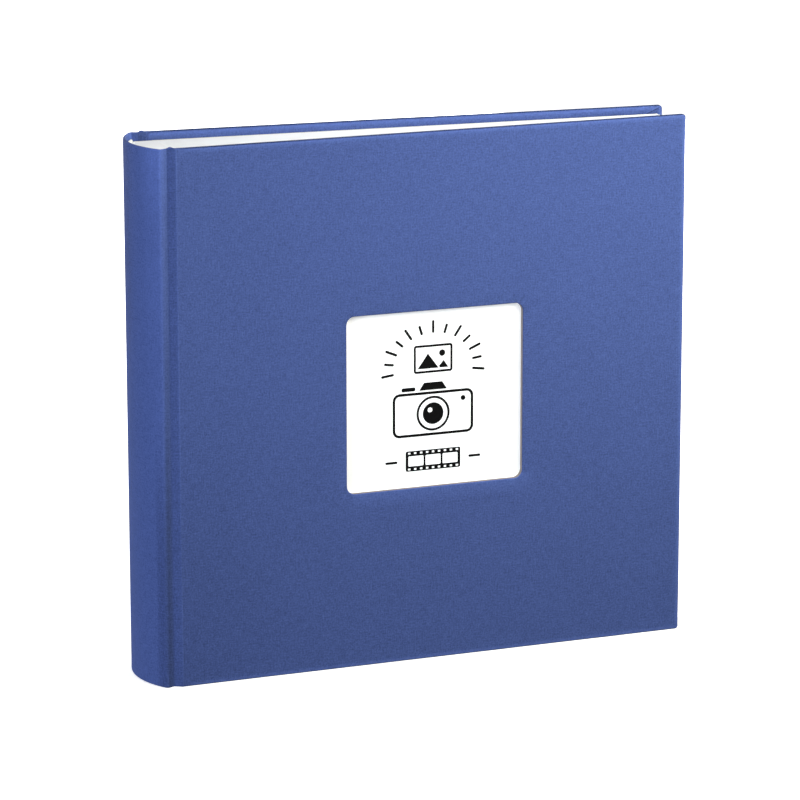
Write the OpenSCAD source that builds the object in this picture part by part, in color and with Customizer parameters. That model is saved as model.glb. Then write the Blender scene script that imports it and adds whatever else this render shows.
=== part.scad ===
// Book-bound scrapbook album, standing upright on its tail edges.
// +Z is up, the front cover faces -Y, the spine is at -X and the fore-edges are at +X.
// The origin is at the middle of the footprint, at the height of the tail edges.

/* [Covers] */
// Height of both covers and the spine
cover_h = 310; // [260:1:340]
// Width of one cover board, from the joint edge to the fore-edge
board_w = 311; // [260:1:340]
// Thickness of the grey board inside a cover
board_t = 2.6; // [2:0.1:3.2]
// Thickness of the covering cloth
cloth_t = 0.35; // [0.3:0.05:0.4]
// Thickness over both covers at the joints
thick_spine = 62.66; // [60:0.1:66]
// Thickness over both covers at the fore-edge
thick_fore = 37.7; // [36:0.1:44]
// Width of the cloth that is turned in over the board edges
turn_in = 15; // [10:1:20]
// Radius of the boards' corners at the fore-edge
corner_r = 1.5; // [0.5:0.1:3]

/* [Spine] */
// Width of the groove between a cover board and the spine
joint_w = 8.85; // [8.6:0.05:9.5]
// How far the rounded spine bulges beyond its two shoulders
spine_bulge = 10.8; // [9:0.1:12]
// Thickness of the card inside the spine
spine_card_t = 1.0; // [0.8:0.1:1.1]
// Radius of the bead of the head and tail bands
band_r = 0.9; // [0.7:0.1:1.1]

/* [Window] */
// Width of the picture window in the front cover
window_w = 108.8; // [80:0.1:120]
// Height of the picture window in the front cover
window_h = 103.9; // [80:0.1:120]
// Corner radius of the picture window
window_r = 5; // [2:0.5:10]
// Thickness of the picture card
picture_t = 0.3; // [0.2:0.05:0.35]
// How far the picture card reaches past the window on each side
picture_lap = 5.5; // [4:0.5:8]

/* [Pages] */
// Width and height of a page
page = 300; // [250:1:300]
// Number of leaves
leaves = 50; // [40:2:50]
// Thickness of one leaf of card
leaf_t = 0.28; // [0.2:0.01:0.3]
// Thickness of one glassine interleaf
glassine_t = 0.08; // [0.05:0.01:0.08]
// Thickness of an endpaper
endpaper_t = 0.15; // [0.12:0.01:0.15]

/* [Hidden] */
$fn = 96;

// Leaves that turn with a cover, counted from the cover inwards
turning = 8;

// Half thicknesses and the tilt of a cover
half_s = thick_spine / 2;
half_f = thick_fore / 2;
tilt = asin((half_s - half_f) / board_w);

// The spine's arc: centre on the mid-plane, outer radius and the angle of its shoulders
arc_r = (half_s * half_s + spine_bulge * spine_bulge) / (2 * spine_bulge);
arc_x = -joint_w - spine_bulge + arc_r;
shoulder_a = asin(half_s / arc_r);

// Radii of the layers behind the spine cloth
card_ro = arc_r - cloth_t;
card_ri = card_ro - spine_card_t;
block_r = arc_r - 2.55;
gauze_ro = block_r + 0.3;
lining_ro = gauze_ro + 0.3;
band_ro = lining_ro + 0.25;

// The middle of the footprint along X, measured from the joint edge of the boards
x_left = -joint_w - spine_bulge;
x_right = board_w * cos(tilt);
x_mid = (x_left + x_right) / 2;

// Depths through a cover, from its outer face inwards
d_board = cloth_t;
d_infill = cloth_t + board_t;
d_paste = d_infill + cloth_t;
d_pocket = d_paste + endpaper_t;
slot_t = picture_t + 0.2;
d_panel = d_pocket + slot_t;
d_fly = 4.6;
d_leaf = 4.95;

// Window position on the cover, u along the board and z up
win_u = (board_w - window_w) / 2 - 0.85;
win_z = (cover_h - window_h) / 2 - 0.15;

// Pages: crease, fore-edge, tail and head
square_z = (cover_h - page) / 2;
x_stub = 8.5;
x_leaf = 9.5;
x_fore = 307.5;
y_crease = half_s - x_leaf * tan(tilt) - d_leaf / cos(tilt);
y_fore = half_s - x_fore * tan(tilt) - d_leaf / cos(tilt);

// Joint strips: hinge lines of the cloth at the spine side and at the board side
joint_y = half_s - 2.53;
hinge_a = -7.5;
hinge_b = -1.5;

// Middle of leaf n (1 to leaves), across the block, at the crease and at the fore-edge
function leaf_yc(n) = -y_crease + (n - 0.5) * 2 * y_crease / leaves;
function leaf_yf(n) = -y_fore + (n - 0.5) * 2 * y_fore / leaves;
function leaf_ya(n, x) = leaf_yc(n) + (leaf_yf(n) - leaf_yc(n)) * (x - x_leaf) / (x_fore - x_leaf);
// Where the rounded back of the block lies at y
function back_x(y) = arc_x + 0.05 - sqrt(block_r * block_r - y * y);

cloth_c = "#5a6fad";
cloth_dark = "#4a5c99";
board_c = "#a9a6a4";
paper_c = "#f4f3ef";
glass_c = "#e4e6e6";

module place() { translate([-x_mid, 0, 0]) children(); }

// Local frame of the front cover: x along the board, y from the outer face inwards
module front_frame() { place() translate([0, -half_s, 0]) rotate([0, 0, tilt]) children(); }
module rear_side() { mirror([0, 1, 0]) children(); }

module slab(x0, x1, y0, y1, z0, z1) {
    translate([x0, y0, z0]) cube([x1 - x0, y1 - y0, z1 - z0]);
}

// A sector of a tube about the spine's centre line
module arc_layer(r0, r1, half_angle, z0, z1) {
    translate([arc_x, 0, z0]) rotate([0, 0, 180 - half_angle])
        rotate_extrude(angle = 2 * half_angle) translate([r0, 0]) square([r1 - r0, z1 - z0]);
}

module rounded_rect(x0, z0, w, h, r) {
    translate([x0 + r, z0]) square([w - 2 * r, h]);
    translate([x0, z0 + r]) square([w, h - 2 * r]);
    for (x = [x0 + r, x0 + w - r], z = [z0 + r, z0 + h - r]) translate([x, z]) circle(r = r);
}

// The window as a prism through the depths y0 to y1
module window_prism(y0, y1) {
    translate([0, y1, 0]) rotate([90, 0, 0]) linear_extrude(height = y1 - y0)
        rounded_rect(win_u, win_z, window_w, window_h, window_r);
}

// A plate of the cover through the depths y0 to y1, with rounded corners at the fore-edge
module plate(u0, u1, y0, y1, z0, z1, r) {
    translate([0, y1, 0]) rotate([90, 0, 0]) linear_extrude(height = y1 - y0) {
        translate([u0, z0]) square([u1 - u0 - r, z1 - z0]);
        translate([u0, z0 + r]) square([u1 - u0, z1 - z0 - 2 * r]);
        for (z = [z0 + r, z1 - r]) translate([u1 - r, z]) circle(r = r);
    }
}

// ---- cover pieces in the cover's local frame ----

module board_solid() {
    plate(cloth_t, board_w - cloth_t, d_board, d_infill, cloth_t, cover_h - cloth_t, corner_r);
}

module cloth_solid() {
    e = 1;
    difference() {
        plate(0, board_w, 0, d_paste, 0, cover_h, corner_r + cloth_t);
        // the board's place
        board_solid();
        // the infill's place between the turned-in edges
        slab(-e, board_w - turn_in, d_infill - 0.01, d_paste + e, turn_in, cover_h - turn_in);
        slab(-e, cloth_t + 3, d_infill - 0.01, d_paste + e, -e, cover_h + e);
    }
    // lip that carries on into the joint
    slab(hinge_b + 0.3, cloth_t, 2.35, 2.70, 0, cover_h);
}

module infill_solid() {
    slab(cloth_t + 3.2, board_w - turn_in - 0.2, d_infill, d_paste, turn_in + 0.2, cover_h - turn_in - 0.2);
}

module pastedown_solid() {
    slab(3.6, x_fore / cos(tilt), d_paste, d_pocket, square_z, cover_h - square_z);
}

module joint_strip() {
    place() slab(hinge_a, hinge_b, -joint_y - cloth_t / 2, -joint_y + cloth_t / 2, 0, cover_h);
}

module joint_paper() {
    place() slab(hinge_a + 0.2, hinge_b - 0.2, -joint_y + cloth_t / 2, -joint_y + cloth_t / 2 + endpaper_t, square_z, cover_h - square_z);
}

// ---- pages ----

// A turning sheet from beside the crease to the fore-edge, lying at the middle lines yc and yf
module sheet(yc, yf, t, x1, z0, z1) {
    place() translate([0, 0, z0]) linear_extrude(height = z1 - z0)
        polygon([[x_leaf, yc - t / 2], [x1, yf - t / 2], [x1, yf + t / 2], [x_leaf, yc + t / 2]]);
}

module page_leaf(n) { sheet(leaf_yc(n), leaf_yf(n), leaf_t, x_fore, square_z, cover_h - square_z); }

// Interleaf between leaf n and leaf n + 1, a little smaller than the leaves
module page_interleaf(n) {
    m = n + 0.5;
    sheet(leaf_yc(m), leaf_ya(m, x_fore - 2), glassine_t, x_fore - 2, square_z + 1.5, cover_h - square_z - 1.5);
}

module fly_solid() {
    yc = -half_s + x_leaf * tan(tilt) + (d_fly + endpaper_t / 2) / cos(tilt);
    yf = -half_s + x_fore * tan(tilt) + (d_fly + endpaper_t / 2) / cos(tilt);
    sheet(yc, yf, endpaper_t, x_fore, square_z, cover_h - square_z);
}

// ---- nodes of the binding ----

module spine_cloth() {
    color(cloth_dark) place() {
        linear_extrude(height = cover_h) {
            intersection() {
                difference() {
                    translate([arc_x, 0]) circle(r = arc_r, $fn = 360);
                    translate([arc_x, 0]) circle(r = card_ro, $fn = 360);
                }
                polygon([[arc_x, 0], for (s = [-1, 1]) [arc_x - 70 * cos(shoulder_a - 0.4), s * 70 * sin(shoulder_a - 0.4)]]);
            }
            // bead of each shoulder and the wall of the groove
            for (s = [0, 1]) mirror([0, s, 0]) {
                translate([-joint_w + 0.25, -half_s + 0.6]) circle(r = 0.6);
                translate([-8.35, -half_s + 0.6]) square([0.35, half_s - 0.6 - joint_y + cloth_t / 2]);
                translate([-8.35, -joint_y - cloth_t / 2]) square([0.4, cloth_t]);
            }
        }
        // cloth folded over the card at head and tail, and turned in behind it
        for (z = [0, cover_h - cloth_t])
            arc_layer(card_ri - cloth_t / 2, card_ro + cloth_t / 2, shoulder_a - 1.4, z, z + cloth_t);
        arc_layer(card_ri - cloth_t, card_ri, shoulder_a - 2, 0, turn_in);
        arc_layer(card_ri - cloth_t, card_ri, shoulder_a - 2, cover_h - turn_in, cover_h);
    }
}

module spine_card() {
    color("#c8b48c") place() arc_layer(card_ri, card_ro, shoulder_a - 1.5, cloth_t, cover_h - cloth_t);
}

module spine_gauze() {
    color("#d9d4c6") place() arc_layer(block_r, gauze_ro, 32, square_z + 12, cover_h - square_z - 12);
}

module spine_lining() {
    color("#b59a6a") place() arc_layer(gauze_ro, lining_ro, 31.5, square_z + 1, cover_h - square_z - 1);
}

// A woven band: a rounded bead over the edge of the block, on a tape glued to its back
module band(at_head) {
    z = at_head ? cover_h - square_z : square_z;
    s = at_head ? 1 : -1;
    place() {
        translate([arc_x, 0, z + s * band_r]) rotate([0, 0, 180 - 31])
            rotate_extrude(angle = 62) translate([block_r - 0.5, 0]) circle(r = band_r, $fn = 24);
        arc_layer(lining_ro, band_ro, 31, min(z + s * band_r, z - s * 13), max(z + s * band_r, z - s * 13));
        arc_layer(block_r, lining_ro, 31, min(z + s * band_r, z), max(z + s * band_r, z));
    }
}

module head_band() { color("#ececec") band(true); }
module tail_band() { color("#ececec") band(false); }

// Bound edges of the turning leaves and of the endpapers, left of the crease
module leaf_stubs() {
    color(paper_c) place() {
        for (n = [1 : turning], s = [0, 1]) mirror([0, s, 0])
            slab(back_x(leaf_yc(n) - leaf_t / 2), x_stub, leaf_yc(n) - leaf_t / 2, leaf_yc(n) + leaf_t / 2, square_z, cover_h - square_z);
        for (s = [0, 1]) mirror([0, s, 0])
            slab(back_x(leaf_yc(1)) + 1, x_stub, leaf_yc(1) - leaf_t / 2 - 0.2 - endpaper_t, leaf_yc(1) - leaf_t / 2 - 0.2, square_z, cover_h - square_z);
    }
}

// Card strips between the bound edges, which keep the block as thick at the spine as pictures make it
module guard_strips() {
    color("#ebe9e2") place()
        for (n = [1 : leaves - 1]) {
            y0 = leaf_yc(n) + leaf_t / 2;
            y1 = leaf_yc(n + 1) - leaf_t / 2;
            ye = max(abs(y0), abs(y1));
            slab(back_x(ye), 5.5, y0, y1, square_z, cover_h - square_z);
        }
}

module centre_leaves() {
    color(paper_c) place()
        for (n = [turning + 1 : leaves - turning]) {
            yc = leaf_yc(n);
            yf = leaf_yf(n);
            xb = back_x(abs(yc) + leaf_t / 2);
            translate([0, 0, square_z]) linear_extrude(height = page)
                polygon([[xb, yc - leaf_t / 2], [x_leaf, yc - leaf_t / 2], [x_fore, yf - leaf_t / 2],
                         [x_fore, yf + leaf_t / 2], [x_leaf, yc + leaf_t / 2], [xb, yc + leaf_t / 2]]);
        }
}

module centre_interleaves() {
    color(glass_c) for (n = [turning + 1 : leaves - turning - 1]) page_interleaf(n);
}

// ---- nodes of the front cover ----

module front_joint_cloth() { color(cloth_dark) joint_strip(); }
module front_joint_paper() { color(paper_c) joint_paper(); }

module front_board() {
    color(board_c) front_frame() difference() {
        board_solid();
        window_prism(-1, 6);
    }
}

module front_cover_cloth() {
    color(cloth_c) front_frame() difference() {
        cloth_solid();
        window_prism(-1, 6);
    }
}

module front_infill() {
    color("#d8d5cd") front_frame() difference() {
        infill_solid();
        window_prism(-1, 6);
    }
}

module front_pastedown() {
    color(paper_c) front_frame() difference() {
        pastedown_solid();
        window_prism(-1, 6);
    }
}

// Strips glued along three sides of the picture, open towards the head
pic_u0 = win_u - picture_lap;
pic_u1 = win_u + window_w + picture_lap;
pic_z0 = win_z - picture_lap;
pic_z1 = win_z + window_h + picture_lap;
strip_w = 8;

module pocket_spacer() {
    color("#e9e7e0") front_frame() {
        slab(pic_u0 - 0.5 - strip_w, pic_u0 - 0.5, d_pocket, d_panel, pic_z0 - strip_w, pic_z1 + 4);
        slab(pic_u1 + 0.5, pic_u1 + 0.5 + strip_w, d_pocket, d_panel, pic_z0 - strip_w, pic_z1 + 4);
        slab(pic_u0 - 0.3, pic_u1 + 0.3, d_pocket, d_panel, pic_z0 - strip_w, pic_z0);
    }
}

module pocket_panel() {
    color(paper_c) front_frame() difference() {
        slab(pic_u0 - 0.5 - strip_w, pic_u1 + 0.5 + strip_w, d_panel, d_panel + 0.3, pic_z0 - strip_w, pic_z1 + 4);
        // thumb notch at the mouth
        translate([(pic_u0 + pic_u1) / 2, 6, pic_z1 + 4]) rotate([90, 0, 0]) cylinder(r = 11, h = 6);
    }
}

module picture_card() {
    color("white") front_frame()
        slab(pic_u0, pic_u1, d_pocket + 0.1, d_pocket + 0.1 + picture_t, pic_z0, pic_z1);
}

module front_flyleaf() { color(paper_c) fly_solid(); }

// ---- nodes of the rear cover ----

module rear_joint_cloth() { color(cloth_dark) rear_side() joint_strip(); }
module rear_joint_paper() { color(paper_c) rear_side() joint_paper(); }
module rear_board() { color(board_c) rear_side() front_frame() board_solid(); }
module rear_cover_cloth() { color(cloth_c) rear_side() front_frame() cloth_solid(); }
module rear_infill() { color("#d8d5cd") rear_side() front_frame() infill_solid(); }
module rear_pastedown() { color(paper_c) rear_side() front_frame() pastedown_solid(); }
module rear_flyleaf() { color(paper_c) rear_side() fly_solid(); }

// ---- turning leaves, counted from each cover inwards ----

module leaf_01() { color(paper_c) page_leaf(1); }
module leaf_02() { color(paper_c) page_leaf(2); }
module leaf_03() { color(paper_c) page_leaf(3); }
module leaf_04() { color(paper_c) page_leaf(4); }
module leaf_05() { color(paper_c) page_leaf(5); }
module leaf_06() { color(paper_c) page_leaf(6); }
module leaf_07() { color(paper_c) page_leaf(7); }
module leaf_08() { color(paper_c) page_leaf(8); }
module interleaf_01() { color(glass_c) page_interleaf(1); }
module interleaf_02() { color(glass_c) page_interleaf(2); }
module interleaf_03() { color(glass_c) page_interleaf(3); }
module interleaf_04() { color(glass_c) page_interleaf(4); }
module interleaf_05() { color(glass_c) page_interleaf(5); }
module interleaf_06() { color(glass_c) page_interleaf(6); }
module interleaf_07() { color(glass_c) page_interleaf(7); }
module interleaf_08() { color(glass_c) page_interleaf(8); }
module rear_leaf_01() { color(paper_c) rear_side() page_leaf(1); }
module rear_leaf_02() { color(paper_c) rear_side() page_leaf(2); }
module rear_leaf_03() { color(paper_c) rear_side() page_leaf(3); }
module rear_leaf_04() { color(paper_c) rear_side() page_leaf(4); }
module rear_leaf_05() { color(paper_c) rear_side() page_leaf(5); }
module rear_leaf_06() { color(paper_c) rear_side() page_leaf(6); }
module rear_leaf_07() { color(paper_c) rear_side() page_leaf(7); }
module rear_leaf_08() { color(paper_c) rear_side() page_leaf(8); }
module rear_interleaf_01() { color(glass_c) rear_side() page_interleaf(1); }
module rear_interleaf_02() { color(glass_c) rear_side() page_interleaf(2); }
module rear_interleaf_03() { color(glass_c) rear_side() page_interleaf(3); }
module rear_interleaf_04() { color(glass_c) rear_side() page_interleaf(4); }
module rear_interleaf_05() { color(glass_c) rear_side() page_interleaf(5); }
module rear_interleaf_06() { color(glass_c) rear_side() page_interleaf(6); }
module rear_interleaf_07() { color(glass_c) rear_side() page_interleaf(7); }
module rear_interleaf_08() { color(glass_c) rear_side() page_interleaf(8); }

spine_cloth();
spine_card();
spine_gauze();
spine_lining();
head_band();
tail_band();
leaf_stubs();
guard_strips();
centre_leaves();
centre_interleaves();
front_joint_cloth();
front_joint_paper();
front_board();
front_cover_cloth();
front_infill();
front_pastedown();
pocket_spacer();
pocket_panel();
picture_card();
rear_joint_cloth();
rear_joint_paper();
rear_board();
rear_cover_cloth();
rear_infill();
rear_pastedown();
front_flyleaf();
rear_flyleaf();
leaf_01();
leaf_02();
leaf_03();
leaf_04();
leaf_05();
leaf_06();
leaf_07();
leaf_08();
interleaf_01();
interleaf_02();
interleaf_03();
interleaf_04();
interleaf_05();
interleaf_06();
interleaf_07();
interleaf_08();
rear_leaf_01();
rear_leaf_02();
rear_leaf_03();
rear_leaf_04();
rear_leaf_05();
rear_leaf_06();
rear_leaf_07();
rear_leaf_08();
rear_interleaf_01();
rear_interleaf_02();
rear_interleaf_03();
rear_interleaf_04();
rear_interleaf_05();
rear_interleaf_06();
rear_interleaf_07();
rear_interleaf_08();
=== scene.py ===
"""Looks of the book-bound scrapbook album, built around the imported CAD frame."""

import math

import bmesh
import bpy
import numpy as np
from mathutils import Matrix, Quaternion, Vector
from mathutils.geometry import delaunay_2d_cdt


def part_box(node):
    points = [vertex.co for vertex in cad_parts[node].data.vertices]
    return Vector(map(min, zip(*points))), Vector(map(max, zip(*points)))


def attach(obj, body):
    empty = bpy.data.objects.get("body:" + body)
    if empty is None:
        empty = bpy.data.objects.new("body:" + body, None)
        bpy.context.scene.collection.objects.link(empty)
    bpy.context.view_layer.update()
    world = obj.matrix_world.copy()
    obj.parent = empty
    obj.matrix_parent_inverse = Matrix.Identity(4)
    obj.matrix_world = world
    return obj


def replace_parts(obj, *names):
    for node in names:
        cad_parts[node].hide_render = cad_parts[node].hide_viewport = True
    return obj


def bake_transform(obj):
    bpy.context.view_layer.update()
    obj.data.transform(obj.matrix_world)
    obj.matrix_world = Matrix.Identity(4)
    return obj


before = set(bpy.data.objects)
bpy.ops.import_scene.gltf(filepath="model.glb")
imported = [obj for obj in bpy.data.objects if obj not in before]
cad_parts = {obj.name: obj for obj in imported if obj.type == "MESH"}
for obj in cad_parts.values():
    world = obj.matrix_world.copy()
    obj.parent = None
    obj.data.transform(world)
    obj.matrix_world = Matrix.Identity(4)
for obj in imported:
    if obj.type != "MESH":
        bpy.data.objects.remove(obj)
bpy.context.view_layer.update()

# ------------------------------------------------------------------ dimensions, in millimetres
# The same driving dimensions as the CAD source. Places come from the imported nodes' boxes.
BOARD_W, CLOTH_T, BOARD_T, TURN_IN, JOINT_W, BULGE = 311.0, 0.35, 2.6, 15.0, 8.85, 10.8
CARD_T, BAND_R, PAGE, LEAVES, TURNING = 1.0, 0.9, 300.0, 50, 8
LEAF_T, GLASS_T, END_T = 0.28, 0.08, 0.15
CORNER_R = 1.5 + CLOTH_T


def box_mm(node):
    lo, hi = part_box(node)
    return np.array(lo) * 1000.0, np.array(hi) * 1000.0


sp_lo, sp_hi = box_mm("spine_cloth")
fc_lo, fc_hi = box_mm("front_cover_cloth")
lf_lo, lf_hi = box_mm("leaf_01")
X0 = sp_lo[0] + JOINT_W + BULGE  # row x of the boards' joint edge
H = sp_hi[2]
HALF = -fc_lo[1]  # half thickness over the covers at the joints
D_INFILL = CLOTH_T + BOARD_T
D_PASTE = D_INFILL + CLOTH_T
D_POCKET = D_PASTE + END_T
HALF_F = -(fc_hi[1] - D_PASTE)  # half thickness over the covers at the fore-edge
TILT = math.asin((HALF - HALF_F) / BOARD_W)
CT, ST = math.cos(TILT), math.sin(TILT)
ARC_R = (HALF * HALF + BULGE * BULGE) / (2 * BULGE)
ARC_X = -JOINT_W - BULGE + ARC_R
SHOULDER = math.asin(HALF / ARC_R)
CARD_RO = ARC_R - CLOTH_T
CARD_RI = CARD_RO - CARD_T
BLOCK_R = ARC_R - 2.55
BAND_RO = BLOCK_R + 0.85
SQUARE = lf_lo[2]
X_LEAF, X_FORE = 9.5, lf_hi[0] - X0
D_FLY, D_LEAF = 4.6, 4.95
Y_CREASE = HALF - X_LEAF * math.tan(TILT) - D_LEAF / CT
Y_FORE = HALF - X_FORE * math.tan(TILT) - D_LEAF / CT
HINGE_A, HINGE_B = -7.5, -1.5
WIN_W, WIN_H, WIN_R = 108.8, 103.9, 5.0
WIN_U, WIN_Z = (BOARD_W - WIN_W) / 2 - 0.85, (H - WIN_H) / 2 - 0.15
SEAM_U = 1.5
pc_lo, pc_hi = box_mm("picture_card")


def row(p):
    """Millimetres from the boards' joint edge, to metres in the row frame."""
    return ((p[0] + X0) * 0.001, p[1] * 0.001, p[2] * 0.001)


def cov(u, v, z=0.0):
    """A point in the front cover's frame: u along the board, v inwards from its outer face."""
    return (u * CT - v * ST, -HALF + u * ST + v * CT, z)


def wave(s, seed):
    """Smooth, bounded unevenness, from -1 to 1."""
    a = math.sin(s * 0.071 + seed * 1.7) + 0.7 * math.sin(s * 0.163 + seed * 2.9) + 0.5 * math.sin(s * 0.397 + seed * 4.3)
    return a / 2.2


def smooth(x):
    x = min(1.0, max(0.0, x))
    return x * x * (3 - 2 * x)


# ------------------------------------------------------------------ mesh building
class Shape:
    """Vertices in millimetres, faces, and a UV in millimetres and a rub value, for painted light and shade, for every
    corner.
    """

    def __init__(self):
        self.v, self.f, self.uv, self.rub, self.mi = [], [], [], [], []

    def add(self, p, rub=0.0):
        self.v.append(tuple(p))
        self.rub.append(rub)
        return len(self.v) - 1

    def face(self, ids, uvs, mi=0):
        if len(set(ids)) == len(ids):
            self.f.append(tuple(ids))
            self.uv.append([tuple(q) for q in uvs])
            self.mi.append(mi)

    def grid(self, ids, uvs, closed=False):
        """ids[i][j] with uvs[i][j]; closed joins the last j to the first, where uvs has one more column."""
        for i in range(len(ids) - 1):
            n = len(ids[i])
            for j in range(n if closed else n - 1):
                k = (j + 1) % n
                self.face(
                    (ids[i][j], ids[i][k], ids[i + 1][k], ids[i + 1][j]),
                    (uvs[i][j], uvs[i][j + 1], uvs[i + 1][j + 1], uvs[i + 1][j]),
                )


def make(name, shape, mats, angle=38.0, mirror=False, recalc=True, merge=2e-6):
    me = bpy.data.meshes.new(name)
    pts = [row((x, -y, z) if mirror else (x, y, z)) for x, y, z in shape.v]
    me.from_pydata(pts, [], shape.f)
    layer = me.uv_layers.new(name="cloth")
    flat = [c for f in shape.uv for q in f for c in q]
    layer.data.foreach_set("uv", flat)
    rub = me.attributes.new("rub", "FLOAT", "POINT")
    rub.data.foreach_set("value", [float(r) for r in shape.rub])
    me.polygons.foreach_set("material_index", shape.mi)
    for m in mats:
        me.materials.append(m)
    bm = bmesh.new()
    bm.from_mesh(me)
    if merge:
        bmesh.ops.remove_doubles(bm, verts=bm.verts, dist=merge)
    bmesh.ops.dissolve_degenerate(bm, edges=bm.edges, dist=1e-8)
    if recalc:
        bmesh.ops.recalc_face_normals(bm, faces=bm.faces)
    for f in bm.faces:
        f.smooth = True
    bm.to_mesh(me)
    bm.free()
    me.set_sharp_from_angle(angle=math.radians(angle))
    o = bpy.data.objects.new(name, me)
    bpy.context.scene.collection.objects.link(o)
    return o


def rounded_rect(u0, z0, w, h, r, n=10):
    pts = []
    for cx, cz, a0 in ((u0 + w - r, z0 + r, -90), (u0 + w - r, z0 + h - r, 0), (u0 + r, z0 + h - r, 90), (u0 + r, z0 + r, 180)):
        for i in range(n + 1):
            a = math.radians(a0 + 90 * i / n)
            pts.append((cx + r * math.cos(a), cz + r * math.sin(a)))
    return pts


def inside(p, poly):
    x, y = p
    hit = False
    j = len(poly) - 1
    for i in range(len(poly)):
        xi, yi = poly[i]
        xj, yj = poly[j]
        if (yi > y) != (yj > y) and x < (xj - xi) * (y - yi) / (yj - yi) + xi:
            hit = not hit
        j = i
    return hit


def triangulate(outline, loops, extra):
    """Triangles over outline, with every loop as constraint edges; returns points and triangles."""
    pts, edges = [], []
    for loop in [outline, *loops]:
        b = len(pts)
        pts += [Vector(p) for p in loop]
        edges += [(b + i, b + (i + 1) % len(loop)) for i in range(len(loop))]
    pts += [Vector(p) for p in extra]
    out = delaunay_2d_cdt(pts, edges, [], 0, 1e-7)
    return [tuple(p) for p in out[0]], [tuple(f) for f in out[2]]


def grid_points(u0, u1, z0, z1, step, keep_off=None, margin=2.5):
    pts = []
    nu, nz = int((u1 - u0) / step), int((z1 - z0) / step)
    for i in range(1, nu):
        for j in range(1, nz):
            u, z = u0 + (u1 - u0) * (i + 0.5 * (j % 2)) / nu, z0 + (z1 - z0) * j / nz
            if u > u1 - margin:
                continue
            if keep_off and keep_off[0] - margin < u < keep_off[1] + margin and keep_off[2] - margin < z < keep_off[3] + margin:
                continue
            pts.append((u, z))
    return pts


# ------------------------------------------------------------------ materials
def lin(r, g, b):
    def one(c):
        c /= 255.0
        return c / 12.92 if c <= 0.04045 else ((c + 0.055) / 1.055) ** 2.4

    return (one(r), one(g), one(b), 1.0)


class Mat:
    def __init__(self, name):
        self.m = bpy.data.materials.new(name)
        self.m.use_nodes = True
        self.t = self.m.node_tree
        self.t.nodes.clear()
        self.out = self.t.nodes.new("ShaderNodeOutputMaterial")
        self.b = self.t.nodes.new("ShaderNodeBsdfPrincipled")
        self.t.links.new(self.b.outputs[0], self.out.inputs[0])

    def n(self, kind, **props):
        node = self.t.nodes.new(kind)
        for k, val in props.items():
            setattr(node, k, val)
        return node

    def put(self, sock, val):
        if isinstance(val, bpy.types.NodeSocket):
            self.t.links.new(val, sock)
        else:
            sock.default_value = val

    def math(self, op, a, b=0.0, clamp=False):
        node = self.n("ShaderNodeMath", operation=op, use_clamp=clamp)
        self.put(node.inputs[0], a)
        self.put(node.inputs[1], b)
        return node.outputs[0]

    def noise(self, vec, scale, detail=2.0, rough=0.5):
        node = self.n("ShaderNodeTexNoise")
        self.put(node.inputs["Vector"], vec)
        node.inputs["Scale"].default_value = scale
        node.inputs["Detail"].default_value = detail
        node.inputs["Roughness"].default_value = rough
        return node.outputs["Fac"]

    def scale3(self, vec, x, y, z=1.0):
        node = self.n("ShaderNodeVectorMath", operation="MULTIPLY")
        self.put(node.inputs[0], vec)
        node.inputs[1].default_value = (x, y, z)
        return node.outputs[0]

    def total(self, *terms):
        """1 + the sum of weight * (value - 0.5)."""
        acc = 1.0
        for w, s in terms:
            acc = self.math("ADD", self.math("MULTIPLY", self.math("SUBTRACT", s, 0.5), w), acc)
        return acc

    def tint(self, colour, factor):
        node = self.n("ShaderNodeVectorMath", operation="SCALE")
        self.put(node.inputs[0], colour if isinstance(colour, bpy.types.NodeSocket) else colour[:3])
        self.put(node.inputs["Scale"], factor)
        return node.outputs[0]

    def mix(self, fac, a, b):
        node = self.n("ShaderNodeMix", data_type="RGBA")
        self.put(node.inputs[0], fac)
        self.put(node.inputs[6], a)
        self.put(node.inputs[7], b)
        return node.outputs[2]

    def bump(self, height, distance, strength=1.0):
        node = self.n("ShaderNodeBump")
        node.inputs["Strength"].default_value = strength
        node.inputs["Distance"].default_value = distance
        self.put(node.inputs["Height"], height)
        self.put(self.b.inputs["Normal"], node.outputs[0])


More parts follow.
